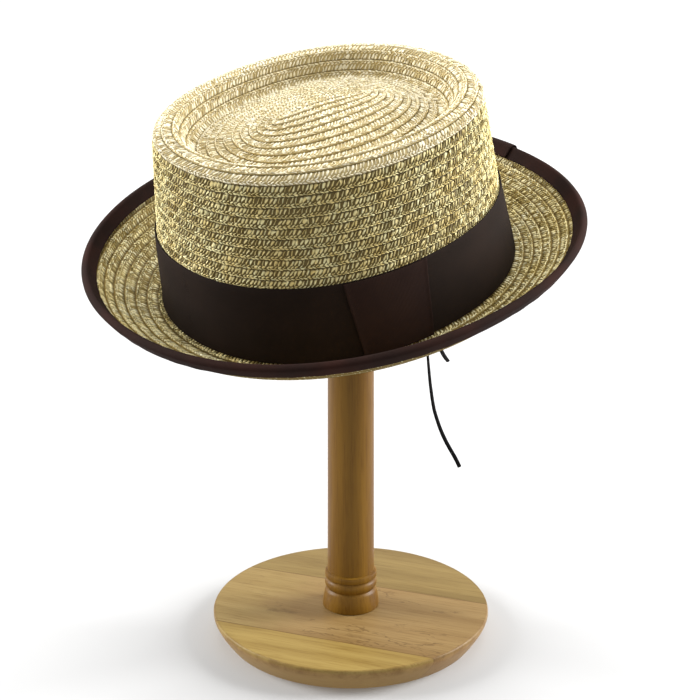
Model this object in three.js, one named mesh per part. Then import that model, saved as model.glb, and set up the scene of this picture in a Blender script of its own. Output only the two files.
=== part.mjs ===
// A porkpie hat of sewn paper-straw braid with a ribbon band, set at a tilt on a turned wooden stand.
// Lengths are in millimetres and angles in degrees. +Z is up, and the hat's front faces -Y.
// The origin is the centre of the stand's underside.
import * as THREE from 'three';

// Crown: an oval tube that leans in towards a rounded rim
const crownLength = 204;
const crownWidth = 183.4;
const crownSquareness = 2.12;
const crownHeight = 97.5;
const crownLean = 11.5;
const strawWall = 2;

// Crown top: the rim rolls over into a gutter, and the floor rises from it to the middle
const rimWidth = 12;
const rimRound = 7;
const gutterRound = 6;
const floorRise = 11.5;
const floorCurve = 1.7;

// Brim: its slope turns from almost flat at the crown to steep at the edge
const brimWidth = 49.2;
const brimCurl = 1.2;
const brimTable = [
  { place: 'front', width: 0.95, rootSlope: 4.7, edgeSlope: 67.4 },
  { place: 'side', width: 1.05, rootSlope: 0.2, edgeSlope: 68.7 },
  { place: 'back', width: 0.95, rootSlope: 4.7, edgeSlope: 52.0 },
];

// Ribbons: the band, the tab that wraps its join, the edge binding and its lapped end
const seatGap = 0.3;
const bandFoot = 0.7;
const bandHeight = 41;
const bandThickness = 1;
const tabThickness = 1;
const tabCentre = 71;
const tabTopWidth = 46;
const tabFootWidth = 37;
const bindingWidth = 8.5;
const bindingThickness = 1;
const bindingRound = 0.55;
const lapStart = 178;
const lapLength = 30;
const lapGap = 0.45;
const lapThickness = 1;

// Sweatband inside the crown's foot, and the drawstring that leaves it at the wearer's left
const sweatbandHeight = 32;
const sweatbandThickness = 1;
const cordDiameter = 2.2;
const cordSides = 8;

// How the hat sits: its lean, and the place on the crown's floor that rests on the stand's head
const hatTilt = 18.4;
const leanDirection = 33.34;
const seatDirection = 163.5;
const seatShare = 0.267;

// Stand: a disc, a turned pole with tenons, and a domed head
const standHeight = 325;
const discDiameter = 168;
const discThickness = 15;
const discUndercut = 6;
const discEdge = 1.2;
const poleTopDiameter = 26;
const poleFootDiameter = 29;
const turningHeight = 29.5;
const turningDiameter = 34.9;
const discTenonDiameter = 20;
const discTenonLength = 9;
const headTenonDiameter = 16;
const headTenonLength = 14;
const headDiameter = 110;
const headDomeRadius = 90;
const headEdge = 12;
const headRound = 5;

// The disc's rounded edge, from the underside up: shares of its undercut and of its thickness
const discEdgeTable = [
  { place: 'underside', undercut: 1.0, height: 0.0 },
  { place: 'lower round', undercut: 0.42, height: 0.13 },
  { place: 'upper round', undercut: 0.1, height: 0.36 },
  { place: 'widest', undercut: 0.0, height: 0.6 },
];

// The turned foot of the pole, from the disc up: heights and widths are shares of the turning's
const turningTable = [
  { place: 'foot', height: 0.0, width: 1.0 },
  { place: 'foot top', height: 0.36, width: 0.95 },
  { place: 'lower groove', height: 0.42, width: 0.895 },
  { place: 'bead foot', height: 0.47, width: 0.94 },
  { place: 'bead', height: 0.55, width: 0.96 },
  { place: 'bead top', height: 0.61, width: 0.94 },
  { place: 'upper groove', height: 0.65, width: 0.88 },
  { place: 'collar foot', height: 0.7, width: 0.9 },
  { place: 'collar top', height: 0.97, width: 0.895 },
  { place: 'collar step', height: 1.0, width: 0.875 },
];

// How finely curved faces are cut
const hatSides = 60;
const discSides = 52;
const poleSides = 28;
const headSides = 36;
const domeSteps = 6;
const tabSteps = 6;
const lapSteps = 4;
const brimSteps = 5;
const slopeSteps = 12;
const longCordSteps = 30;
const shortCordSteps = 14;
const floorShares = [0, 0.3, 0.6, 0.85];
const gutterTurns = [0, 35, 65];
const rimTurns = [0, 32, 62, 90, 118, 148, 180];

const strawFinish = new THREE.MeshStandardMaterial({ color: 0xd2bd86, roughness: 0.75, metalness: 0 });
const ribbonFinish = new THREE.MeshStandardMaterial({ color: 0x2b1b17, roughness: 0.7, metalness: 0 });
const sweatbandFinish = new THREE.MeshStandardMaterial({ color: 0x1f1815, roughness: 0.85, metalness: 0 });
const cordFinish = new THREE.MeshStandardMaterial({ color: 0x141312, roughness: 0.8, metalness: 0 });
const woodFinish = new THREE.MeshStandardMaterial({ color: 0xa27c43, roughness: 0.45, metalness: 0 });

const radians = THREE.MathUtils.degToRad;
const lerp = THREE.MathUtils.lerp;

// The crown's foot
// Angles run from the front towards the wearer's left. An outset is measured square to the crown's
// foot: above zero it is out over the brim, and below zero it is in towards the middle.

function ovalPoint(angle, outset) {
  const n = crownSquareness;
  const front = Math.cos(radians(angle));
  const left = Math.sin(radians(angle));
  const reach = (Math.abs(front) ** n + Math.abs(left) ** n) ** (-1 / n);
  const across = (crownWidth / 2) * reach * left;
  const along = (crownLength / 2) * reach * front;
  const normal = new THREE.Vector2(
    (Math.sign(left) * Math.abs(reach * left) ** (n - 1)) / crownWidth,
    (Math.sign(front) * Math.abs(reach * front) ** (n - 1)) / crownLength,
  ).normalize();
  return new THREE.Vector2(across + outset * normal.x, -(along + outset * normal.y));
}

function sideOutset(height) {
  return (-crownLean * height) / crownHeight;
}

// A line beside the crown's wall, offset square to it
function besideWall(height, offset) {
  const slant = Math.hypot(crownLean, crownHeight) / crownHeight;
  return sideOutset(height) + offset * slant;
}

const rimFoot = crownHeight - rimRound;
const rimOutset = sideOutset(rimFoot) - rimWidth / 2;
const gutterOutset = rimOutset - rimWidth / 2 - gutterRound;
const gutterHeight = rimFoot - gutterRound;

// Inside the gutter an outset counts down to the middle of the floor, where the rings close
function hatPoint(angle, outset, height) {
  const gutter = ovalPoint(angle, Math.max(outset, gutterOutset));
  if (outset < gutterOutset) {
    gutter.multiplyScalar(1 - (gutterOutset - outset) / gutter.length());
  }
  return new THREE.Vector3(gutter.x, gutter.y, height);
}

function floorReach(angle) {
  return ovalPoint(angle, gutterOutset).length();
}

function floorHeight(share) {
  return gutterHeight + floorRise * (1 - share ** floorCurve);
}

// The brim

// A value of the brim's table at an angle, by smooth waves through its front, side and back rows
function brimValue(column, angle) {
  const [front, side, back] = brimTable.map((row) => row[column]);
  const mean = ((front + back) / 2 + side) / 2;
  const first = (front - back) / 2;
  const second = ((front + back) / 2 - side) / 2;
  return mean + first * Math.cos(radians(angle)) + second * Math.cos(radians(2 * angle));
}

function strawBrimWidth(angle) {
  return brimWidth * brimValue('width', angle) - seatGap - bindingThickness;
}

function brimSlope(angle, share) {
  const root = brimValue('rootSlope', angle);
  const edge = brimValue('edgeSlope', angle);
  return radians(root + (edge - root) * Math.max(share, 0) ** brimCurl);
}

// The place and slope of the brim's upper face, at a distance along it from the crown
function brimFrame(angle, distance) {
  const full = brimWidth * brimValue('width', angle);
  const step = distance / slopeSteps;
  let outset = 0;
  let height = 0;
  for (let i = 0; i < slopeSteps; i++) {
    const slope = brimSlope(angle, ((i + 0.5) * step) / full);
    outset += step * Math.cos(slope);
    height += step * Math.sin(slope);
  }
  return { outset, height, slope: brimSlope(angle, distance / full) };
}

// A point beside the brim: along the upper face past a frame, and above that face
function besideBrim(frame, along, above) {
  const cosine = Math.cos(frame.slope);
  const sine = Math.sin(frame.slope);
  return new THREE.Vector2(
    frame.outset + along * cosine - above * sine,
    frame.height + along * sine + above * cosine,
  );
}

// The last three stations of the straw's brim, which the binding covers
function edgeStations(angle) {
  const edge = strawBrimWidth(angle);
  const start = edge - bindingWidth;
  return [start, (start + edge) / 2, edge];
}

// Making closed bodies

function bodyFrom(points, faces) {
  const geometry = new THREE.BufferGeometry().setFromPoints(points);
  geometry.setIndex(faces);
  geometry.computeVertexNormals();
  return geometry;
}

// Rows of points that each run round the hat, closed by a tip at both ends
function tippedBody(firstTip, rows, lastTip) {
  const count = rows[0].length;
  const points = [firstTip, ...rows.flat(), lastTip];
  const last = points.length - 1;
  const at = (row, i) => 1 + row * count + (i % count);
  const faces = [];
  for (let i = 0; i < count; i++) {
    faces.push(0, at(0, i), at(0, i + 1));
    faces.push(last, at(rows.length - 1, i + 1), at(rows.length - 1, i));
    for (let row = 0; row < rows.length - 1; row++) {
      faces.push(at(row, i), at(row + 1, i), at(row + 1, i + 1));
      faces.push(at(row, i), at(row + 1, i + 1), at(row, i + 1));
    }
  }
  return bodyFrom(points, faces);
}

// A closed outline carried round the hat: all the way, or between two ends with a cap on each
// outlineAt gives the outline at an angle, anticlockwise, with outset to the right and height up
function sweptBody(angles, outlineAt, whole, place = hatPoint) {
  const outlines = angles.map(outlineAt);
  const count = outlines[0].length;
  const points = outlines.flatMap((outline, k) => outline.map((p) => place(angles[k], p.x, p.y)));
  const at = (k, i) => (k % angles.length) * count + (i % count);
  const faces = [];
  const spans = whole ? angles.length : angles.length - 1;
  for (let k = 0; k < spans; k++) {
    for (let i = 0; i < count; i++) {
      faces.push(at(k, i), at(k + 1, i), at(k + 1, i + 1));
      faces.push(at(k, i), at(k + 1, i + 1), at(k, i + 1));
    }
  }
  if (!whole) {
    const end = angles.length - 1;
    for (const [a, b, c] of THREE.ShapeUtils.triangulateShape(outlines[0], [])) {
      faces.push(at(0, a), at(0, b), at(0, c));
    }
    for (const [a, b, c] of THREE.ShapeUtils.triangulateShape(outlines[end], [])) {
      faces.push(at(end, a), at(end, c), at(end, b));
    }
  }
  return bodyFrom(points, faces);
}

const hatAngles = Array.from({ length: hatSides }, (_, i) => (360 * i) / hatSides);

function anglesBetween(start, end, steps) {
  return Array.from({ length: steps + 1 }, (_, i) => lerp(start, end, i / steps));
}

// A line offset to its right-hand side by one distance, square to each stretch
function offsetLine(line, distance) {
  return line.map((point, i) => {
    const before = line[Math.max(i - 1, 0)];
    const after = line[Math.min(i + 1, line.length - 1)];
    const arriving = i > 0 ? point.clone().sub(before) : after.clone().sub(point);
    const leaving = i < line.length - 1 ? after.clone().sub(point) : arriving.clone();
    const first = new THREE.Vector2(arriving.y, -arriving.x).normalize();
    const second = new THREE.Vector2(leaving.y, -leaving.x).normalize();
    const middle = first.clone().add(second).normalize();
    return point.clone().addScaledVector(middle, distance / middle.dot(first));
  });
}

// The straw: one wall from the middle of the crown's floor to the brim's edge

function strawOutside(angle) {
  const line = [];
  for (const share of floorShares) {
    const outset = gutterOutset - (1 - share) * floorReach(angle);
    line.push(new THREE.Vector2(outset, floorHeight(share)));
  }
  for (const turn of gutterTurns) {
    const outset = gutterOutset + gutterRound * Math.sin(radians(turn));
    line.push(new THREE.Vector2(outset, rimFoot - gutterRound * Math.cos(radians(turn))));
  }
  for (const turn of rimTurns) {
    const outset = rimOutset - (rimWidth / 2) * Math.cos(radians(turn));
    line.push(new THREE.Vector2(outset, rimFoot + rimRound * Math.sin(radians(turn))));
  }
  line.push(new THREE.Vector2(sideOutset(bandHeight), bandHeight));
  line.push(new THREE.Vector2(0, 0));
  const [covered, middle, edge] = edgeStations(angle);
  for (let i = 1; i < brimSteps; i++) {
    line.push(besideBrim(brimFrame(angle, (covered * i) / brimSteps), 0, 0));
  }
  for (const distance of [covered, middle, edge]) {
    line.push(besideBrim(brimFrame(angle, distance), 0, 0));
  }
  return line;
}

function strawBody() {
  const outside = hatAngles.map(strawOutside);
  const inside = outside.map((line) => offsetLine(line, strawWall));
  const stations = outside[0].length;
  const ringOf = (lines, i) => lines.map((line, k) => hatPoint(hatAngles[k], line[i].x, line[i].y));
  const rows = [];
  for (let i = 1; i < stations; i++) rows.push(ringOf(outside, i));
  for (let i = stations - 1; i > 0; i--) rows.push(ringOf(inside, i));
  const top = new THREE.Vector3(0, 0, floorHeight(0));
  const under = new THREE.Vector3(0, 0, floorHeight(0) - strawWall);
  return tippedBody(top, rows, under);
}

// The ribbons

// A strip of ribbon that stands beside the crown's wall
function wallStrip(foot, top, inner, thickness) {
  return [
    new THREE.Vector2(besideWall(foot, inner), foot),
    new THREE.Vector2(besideWall(foot, inner + thickness), foot),
    new THREE.Vector2(besideWall(top, inner + thickness), top),
    new THREE.Vector2(besideWall(top, inner), top),
  ];
}

function hatbandBody() {
  return sweptBody(hatAngles, () => wallStrip(bandFoot, bandHeight, seatGap, bandThickness), true);
}

// The tab is wider at the top, so each of its sections slants as it climbs
function bandTabBody() {
  const footTurn = (360 * tabFootWidth) / (Math.PI * (crownLength + crownWidth) / 2);
  const widening = tabTopWidth / tabFootWidth - 1;
  const inner = seatGap + bandThickness + lapGap;
  const slanted = (angle, outset, height) => {
    const spread = 1 + (widening * height) / bandHeight;
    return hatPoint(tabCentre + (angle - tabCentre) * spread, outset, height);
  };
  const angles = anglesBetween(tabCentre - footTurn / 2, tabCentre + footTurn / 2, tabSteps);
  return sweptBody(angles, () => wallStrip(bandFoot, bandHeight, inner, tabThickness), false, slanted);
}

// A ribbon folded over the brim's edge, seen in section as a U that opens towards the crown
function foldOutline(angle, gap, thickness) {
  const frames = edgeStations(angle).map((distance) => brimFrame(angle, distance));
  const edge = frames[2];
  const top = gap + thickness;
  const under = -strawWall - top;
  const turn = thickness * bindingRound;
  const backwards = [...frames].reverse();
  return [
    ...frames.map((frame) => besideBrim(frame, 0, under)),
    besideBrim(edge, gap + turn, under + turn / 2),
    besideBrim(edge, gap + thickness, -strawWall / 2 - gap),
    besideBrim(edge, gap + thickness, -strawWall / 2 + gap),
    besideBrim(edge, gap + turn, top - turn / 2),
    ...backwards.map((frame) => besideBrim(frame, 0, top)),
    ...frames.map((frame) => besideBrim(frame, frame === edge ? gap : 0, gap)),
    ...backwards.map((frame) => besideBrim(frame, frame === edge ? gap : 0, -strawWall - gap)),
  ];
}

function brimBindingBody() {
  return sweptBody(hatAngles, (angle) => foldOutline(angle, seatGap, bindingThickness), true);
}

function bindingLapBody() {
  const radius = crownLength / 2 + brimFrame(180, strawBrimWidth(180)).outset;
  const turn = (360 * lapLength) / (2 * Math.PI * radius);
  const gap = seatGap + bindingThickness + lapGap;
  const angles = anglesBetween(lapStart, lapStart + turn, lapSteps);
  return sweptBody(angles, (angle) => foldOutline(angle, gap, lapThickness), false);
}

function sweatbandBody() {
  const inner = -strawWall - seatGap - sweatbandThickness;
  return sweptBody(hatAngles, () => wallStrip(0, sweatbandHeight, inner, sweatbandThickness), true);
}

// The drawstring's two ends: points chosen by hand, from the sweatband down to the free tip
const longCordRoute = [
  [82.3, -17.9, 210.8],
  [82.7, -17.6, 205.0],
  [83.2, -17.2, 198.8],
  [83.9, -16.8, 190.5],
  [84.6, -16.3, 182.3],
  [85.2, -15.9, 176.8],
  [85.9, -15.4, 171.2],
  [86.7, -14.7, 165.7],
  [87.7, -13.8, 161.2],
  [88.8, -12.8, 156.8],
  [90.1, -11.6, 152.4],
  [91.5, -10.2, 148.2],
  [93.1, -8.7, 144.2],
  [94.6, -7.2, 140.5],
  [95.9, -6.0, 137.2],
  [97.0, -5.0, 134.0],
];
const shortCordRoute = [
  [82.7, -12.0, 212.3],
  [82.5, -11.3, 208.1],
  [81.7, -9.2, 203.0],
  [80.1, -5.6, 198.1],
  [78.1, -1.5, 193.5],
  [76.0, 2.8, 189.4],
  [73.8, 7.3, 185.8],
];

function cordBody(route, steps) {
  const curve = new THREE.CatmullRomCurve3(route.map((point) => new THREE.Vector3(...point)));
  const section = new THREE.Shape();
  for (let i = 0; i < cordSides; i++) {
    const turn = (2 * Math.PI * i) / cordSides;
    const x = (cordDiameter / 2) * Math.cos(turn);
    const y = (cordDiameter / 2) * Math.sin(turn);
    if (i === 0) section.moveTo(x, y);
    else section.lineTo(x, y);
  }
  return new THREE.ExtrudeGeometry(section, { steps, extrudePath: curve });
}

// The stand

// A turned body: its half outline runs from the axis at the bottom to the axis at the top
function turned(outline, sides) {
  const points = outline.map(([radius, height]) => new THREE.Vector2(radius, height));
  return new THREE.LatheGeometry(points, sides).rotateX(Math.PI / 2);
}

const headDomeFoot = standHeight - headDomeRadius + Math.sqrt(headDomeRadius ** 2 - (headDiameter / 2) ** 2);
const headUnderside = headDomeFoot - headEdge;

function standDiscBody() {
  const radius = discDiameter / 2;
  const socketFloor = discThickness - discTenonLength - seatGap;
  const socketRadius = discTenonDiameter / 2 + seatGap;
  const edge = discEdgeTable.map((row) => [
    radius - row.undercut * discUndercut,
    row.height * discThickness,
  ]);
  return turned([
    [0, 0],
    ...edge,
    [radius, discThickness - discEdge],
    [radius - discEdge, discThickness],
    [socketRadius, discThickness],
    [socketRadius, socketFloor],
    [0, socketFloor],
  ], discSides);
}

function standPoleBody() {
  const foot = discThickness + seatGap;
  const shoulder = headUnderside - seatGap;
  const turning = turningTable.map((row) => [
    (row.width * turningDiameter) / 2,
    foot + row.height * turningHeight,
  ]);
  return turned([
    [0, discThickness - discTenonLength],
    [discTenonDiameter / 2, discThickness - discTenonLength],
    [discTenonDiameter / 2, foot],
    ...turning,
    [poleFootDiameter / 2, foot + turningHeight],
    [poleTopDiameter / 2, shoulder],
    [headTenonDiameter / 2, shoulder],
    [headTenonDiameter / 2, headUnderside + headTenonLength],
    [0, headUnderside + headTenonLength],
  ], poleSides);
}

function standHeadBody() {
  const radius = headDiameter / 2;
  const socketRadius = headTenonDiameter / 2 + seatGap;
  const socketTop = headUnderside + headTenonLength + seatGap;
  const domeCentre = standHeight - headDomeRadius;
  const domeTurn = Math.asin(radius / headDomeRadius);
  const corner = headRound * (1 - Math.SQRT1_2);
  const outline = [
    [0, socketTop],
    [socketRadius, socketTop],
    [socketRadius, headUnderside],
    [radius - headRound, headUnderside],
    [radius - corner, headUnderside + corner],
    [radius, headUnderside + headRound],
  ];
  for (let i = domeSteps; i >= 0; i--) {
    const turn = (domeTurn * i) / domeSteps;
    outline.push([headDomeRadius * Math.sin(turn), domeCentre + headDomeRadius * Math.cos(turn)]);
  }
  return turned(outline, headSides);
}

// The hat's place: its floor touches the head's dome at the seat, and it leans about that place
function placeHat(group) {
  const lean = new THREE.Vector3(Math.sin(radians(leanDirection)), -Math.cos(radians(leanDirection)), 0);
  const axis = new THREE.Vector3(0, 0, 1).cross(lean);
  group.quaternion.setFromAxisAngle(axis, radians(hatTilt));
  const outset = gutterOutset - (1 - seatShare) * floorReach(seatDirection);
  const seat = hatPoint(seatDirection, outset, floorHeight(seatShare));
  const drop = (floorRise * floorCurve * seatShare ** (floorCurve - 1)) / floorReach(seatDirection);
  const outwards = new THREE.Vector3(seat.x, seat.y, 0).normalize();
  const normal = new THREE.Vector3(outwards.x * drop, outwards.y * drop, 1).normalize();
  seat.addScaledVector(normal, -(strawWall + seatGap + headDomeRadius));
  const domeCentre = new THREE.Vector3(0, 0, standHeight - headDomeRadius);
  group.position.copy(domeCentre.sub(seat.applyQuaternion(group.quaternion)));
}

function piece(name, geometry, material) {
  const mesh = new THREE.Mesh(geometry, material);
  mesh.name = name;
  return mesh;
}

const hat = new THREE.Group();
hat.add(piece('straw_body', strawBody(), strawFinish));
hat.add(piece('hatband', hatbandBody(), ribbonFinish));
hat.add(piece('band_tab', bandTabBody(), ribbonFinish));
hat.add(piece('brim_binding', brimBindingBody(), ribbonFinish));
hat.add(piece('binding_lap', bindingLapBody(), ribbonFinish));
hat.add(piece('sweatband', sweatbandBody(), sweatbandFinish));
placeHat(hat);

const stand = new THREE.Group();
stand.add(piece('stand_disc', standDiscBody(), woodFinish));
stand.add(piece('stand_pole', standPoleBody(), woodFinish));
stand.add(piece('stand_head', standHeadBody(), woodFinish));

const part = new THREE.Group();
part.add(hat);
part.add(stand);
part.add(piece('cord_long', cordBody(longCordRoute, longCordSteps), cordFinish));
part.add(piece('cord_short', cordBody(shortCordRoute, shortCordSteps), cordFinish));

export default part;
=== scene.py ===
# %% [markdown]
# # A sewn straw hat on a turned stand
# A porkpie hat is made of one long flat braid of paper straw. A machine sews it row on row, from the
# middle of the crown out to the brim's edge. Ribbons finish it: a wide band, a bound edge and a
# sweatband with a drawstring. The hat leans on a small wooden stand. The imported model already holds
# every piece at its real size. The cells below give the pieces their real surface.

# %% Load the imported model
import math

import bmesh
import bpy
import numpy as np
from mathutils import Matrix, Vector


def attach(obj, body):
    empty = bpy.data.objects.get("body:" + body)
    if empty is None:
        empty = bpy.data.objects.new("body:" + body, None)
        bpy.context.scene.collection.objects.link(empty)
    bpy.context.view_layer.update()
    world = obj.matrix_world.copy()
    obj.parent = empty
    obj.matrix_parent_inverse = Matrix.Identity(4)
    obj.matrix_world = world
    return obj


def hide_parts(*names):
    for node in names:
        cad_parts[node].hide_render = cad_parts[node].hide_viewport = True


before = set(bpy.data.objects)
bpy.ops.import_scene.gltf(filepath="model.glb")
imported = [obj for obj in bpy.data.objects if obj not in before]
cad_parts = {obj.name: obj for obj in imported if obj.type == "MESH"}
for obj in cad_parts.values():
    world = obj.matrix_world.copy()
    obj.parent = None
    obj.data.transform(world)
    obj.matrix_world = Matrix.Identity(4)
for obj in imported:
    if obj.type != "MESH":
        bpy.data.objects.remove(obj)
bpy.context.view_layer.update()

mm = 0.001

# %% [markdown]
# ## Camera
# The camera stands at the wearer's left and a little in front, and looks slightly down. Its distance,
# height and tilt were worked out from the round base, which shows as an ellipse. The lens is a mild
# telephoto, and a shift of less than a pixel brings the stand's axis to its place in the picture.

# %% Camera
camera_turn = math.radians(50)
camera_drop = math.radians(16.2)
camera_distance = 0.7834
camera_height = 0.4046
lens_length, film_width = 72, 36
picture_width, picture_shift = 700, -0.8

lens = bpy.data.cameras.new("camera")
lens.lens = lens_length
lens.sensor_width = film_width
lens.shift_x = picture_shift / picture_width
lens.clip_end = 20
camera = bpy.data.objects.new("camera", lens)
camera.location = (
    camera_distance * math.sin(camera_turn),
    -camera_distance * math.cos(camera_turn),
    camera_height,
)
camera.rotation_euler = (math.pi / 2 - camera_drop, 0, camera_turn)
bpy.context.scene.collection.objects.link(camera)
bpy.context.scene.camera = camera
print("camera at", [round(value, 4) for value in camera.location])

# %% [markdown]
# ## Small helpers
# Every piece starts as one of Blender's primitives. An operator acts on all that is selected, and the
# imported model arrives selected, so `start` deselects everything first. `reshape` hands the vertices
# of a mesh to a function as one array and puts back what it returns. That is how a piece that was
# made flat on the bench is laid along the hat's curved surface. `place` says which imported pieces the
# finished one stands for.

# %% Helpers for meshes


def start(add, name, **settings):
    """Adds a primitive with nothing else selected, and names it."""
    bpy.ops.object.select_all(action="DESELECT")
    add(**settings)
    piece = bpy.context.object
    piece.name = name
    piece.data.name = name
    return piece


def apply(piece, kind, **settings):
    """Adds a modifier, sets it and applies it."""
    modifier = piece.modifiers.new(kind.lower(), kind)
    for key, value in settings.items():
        setattr(modifier, key, value)
    bpy.context.view_layer.objects.active = piece
    bpy.ops.object.modifier_apply(modifier=modifier.name)


def read_points(piece):
    points = np.empty(len(piece.data.vertices) * 3)
    piece.data.vertices.foreach_get("co", points)
    return points.reshape(-1, 3)


def reshape(piece, change):
    """Moves every vertex to where the function puts it."""
    points = change(read_points(piece))
    piece.data.vertices.foreach_set("co", np.ascontiguousarray(points).ravel())
    piece.data.update()


def tidy_mesh(piece, merge=0.00002):
    """Merges doubled vertices, then turns all faces outwards."""
    bpy.ops.object.select_all(action="DESELECT")
    piece.select_set(True)
    bpy.context.view_layer.objects.active = piece
    bpy.ops.object.mode_set(mode="EDIT")
    bpy.ops.mesh.select_all(action="SELECT")
    bpy.ops.mesh.remove_doubles(threshold=merge)
    bpy.ops.mesh.normals_make_consistent(inside=False)
    bpy.ops.object.mode_set(mode="OBJECT")


def smooth(piece, degrees=35):
    bpy.ops.object.select_all(action="DESELECT")
    piece.select_set(True)
    bpy.context.view_layer.objects.active = piece
    bpy.ops.object.shade_smooth_by_angle(angle=math.radians(degrees))


def triangles(piece):
    return sum(len(polygon.vertices) - 2 for polygon in piece.data.polygons)


def place(piece, slot, *nodes):
    """Rides the piece on the one body and hides the nodes that it stands for. Its slot is not used."""
    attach(piece, "root")
    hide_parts(*nodes)
    print(piece.name, triangles(piece), "triangles")


# %% [markdown]
# ## Drawstring
# The two ends of the drawstring leave the sweatband at the wearer's left and hang free. The lace is
# flat, about 2.2 mm wide, and it twists as it falls: edge-on near the hat, face-on lower down. Each
# end is modelled straight, as a thin flattened cylinder cut into short lengths, and is then laid along
# its route. A lace is a woven tube, so it has round edges and no corners.

# %% Routes of the two ends
cord_width, cord_thickness, cord_sides = 2.2 * mm, 1.2 * mm, 12
cut_spacing = 1.2 * mm
long_route = [
    (82.3, -17.9, 210.8), (82.7, -17.6, 205.0), (83.2, -17.2, 198.8), (83.9, -16.8, 190.5),
    (84.6, -16.3, 182.3), (85.2, -15.9, 176.8), (85.9, -15.4, 171.2), (86.7, -14.7, 165.7),
    (87.7, -13.8, 161.2), (88.8, -12.8, 156.8), (90.1, -11.6, 152.4), (91.5, -10.2, 148.2),
    (93.1, -8.7, 144.2), (94.6, -7.2, 140.5), (95.9, -6.0, 137.2), (97.0, -5.0, 134.0),
]
short_route = [
    (82.7, -12.0, 212.3), (82.5, -11.3, 208.1), (81.7, -9.2, 203.0), (80.1, -5.6, 198.1),
    (78.1, -1.5, 193.5), (76.0, 2.8, 189.4), (73.8, 7.3, 185.8),
]


def fine_route(points, steps=8):
    """A smooth curve through the points, by the same rule as a Catmull-Rom spline."""
    points = np.array(points) * mm
    ends = (2 * points[0] - points[1], 2 * points[-1] - points[-2])
    padded = np.vstack([ends[0], points, ends[1]])
    fine = []
    for i in range(1, len(padded) - 2):
        before, here, there, after = padded[i - 1:i + 3]
        for t in np.arange(steps) / steps:
            fine.append(0.5 * (2 * here + (there - before) * t
                               + (2 * before - 5 * here + 4 * there - after) * t**2
                               + (3 * here - before - 3 * there + after) * t**3))
    return np.array(fine + [padded[-2]])


def route_length(route):
    return float(np.linalg.norm(np.diff(route, axis=0), axis=1).sum())


print("points on the routes:", len(long_route), "and", len(short_route))

# %% Lay the lace along its routes
cord_facing = math.radians(50)


def lay_cord(name, points, first_twist, last_twist):
    """Models a straight lace and lays it on its route. It turns from the first twist to the last."""
    route = fine_route(points)
    length = route_length(route)
    cord = start(
        bpy.ops.mesh.primitive_cylinder_add, name, vertices=cord_sides, radius=0.5, depth=1)
    bpy.ops.object.mode_set(mode="EDIT")
    bpy.ops.mesh.select_all(action="SELECT")
    bpy.ops.transform.resize(value=(cord_width, cord_thickness, length), center_override=(0, 0, 0))
    steps = int(length / cut_spacing)
    for i in range(1, steps):
        bpy.ops.mesh.select_all(action="SELECT")
        height = length * (i / steps - 0.5)
        bpy.ops.mesh.bisect(plane_co=(0, 0, height), plane_no=(0, 0, 1))
    bpy.ops.object.mode_set(mode="OBJECT")
    distance = np.concatenate([[0], np.cumsum(np.linalg.norm(np.diff(route, axis=0), axis=1))])
    heading = np.gradient(route, distance, axis=0)

    def lay(points):
        along = points[:, 2] + length / 2
        centre = np.stack([np.interp(along, distance, route[:, k]) for k in range(3)], axis=1)
        ahead = np.stack([np.interp(along, distance, heading[:, k]) for k in range(3)], axis=1)
        ahead /= np.linalg.norm(ahead, axis=1, keepdims=True)
        twist = np.interp(along / length, [0, 1], np.radians([first_twist, last_twist]))
        twist += cord_facing
        flat = np.stack([np.cos(twist), np.sin(twist), np.zeros(len(along))], axis=1)
        flat -= ahead * (flat * ahead).sum(1, keepdims=True)
        flat /= np.linalg.norm(flat, axis=1, keepdims=True)
        side = np.cross(ahead, flat)
        return centre + flat * points[:, :1] + side * points[:, 1:2]

    reshape(cord, lay)
    tidy_mesh(cord)
    smooth(cord, 60)
    place(cord, "cord", name.replace("lace", "cord"))
    print(name, "is", round(length, 4), "m long")
    return cord


lace_long = lay_cord("lace_long", long_route, first_twist=75, last_twist=0)
lace_short = lay_cord("lace_short", short_route, first_twist=60, last_twist=20)

# %% [markdown]
# ## The hat's shape
# The hat is an oval carried through heights, so one place on it needs three numbers: an angle from
# the front towards the wearer's left, a distance out from the crown's foot, and a height. The next
# cells repeat the hat's own sizes and give those places in the leaning hat's frame. Every ribbon and
# the braid are then laid on this surface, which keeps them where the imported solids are.

# %% Sizes of the hat
crown_length, crown_width, crown_squareness = 204 * mm, 183.4 * mm, 2.12
crown_height, crown_lean, straw_wall = 97.5 * mm, 11.5 * mm, 2 * mm
rim_width, rim_round, gutter_round = 12 * mm, 7 * mm, 6 * mm
floor_rise, floor_curve = 11.5 * mm, 1.7
brim_width, brim_curl = 49.2 * mm, 1.2
brim_widths = (0.95, 1.05, 0.95)
brim_roots = (4.7, 0.2, 4.7)
brim_edges = (67.4, 68.7, 52.0)
seat_gap, ribbon_thickness = 0.3 * mm, 1 * mm

rim_foot = crown_height - rim_round
gutter_outset = -crown_lean * rim_foot / crown_height - rim_width - gutter_round
gutter_height = rim_foot - gutter_round
print("gutter", round(gutter_outset, 4), "in and", round(gutter_height, 4), "up")

# %% [markdown]
# The braid's rows round the rim off more than a smooth wall shows. In section it is a flat quarter of
# an ellipse on the outside, a small round on the inside, a steep slope and a small hollow, where the
# floor starts. The rim also stands a little higher at the wearer's left than opposite.

# %% Section of the sewn rim
crest_height, crest_tip, tip_direction = 99.4 * mm, 1.3 * mm, 65
outer_round, outer_drop = 10 * mm, 5.5 * mm
inner_round, inner_slope = 5 * mm, math.radians(65)


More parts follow.
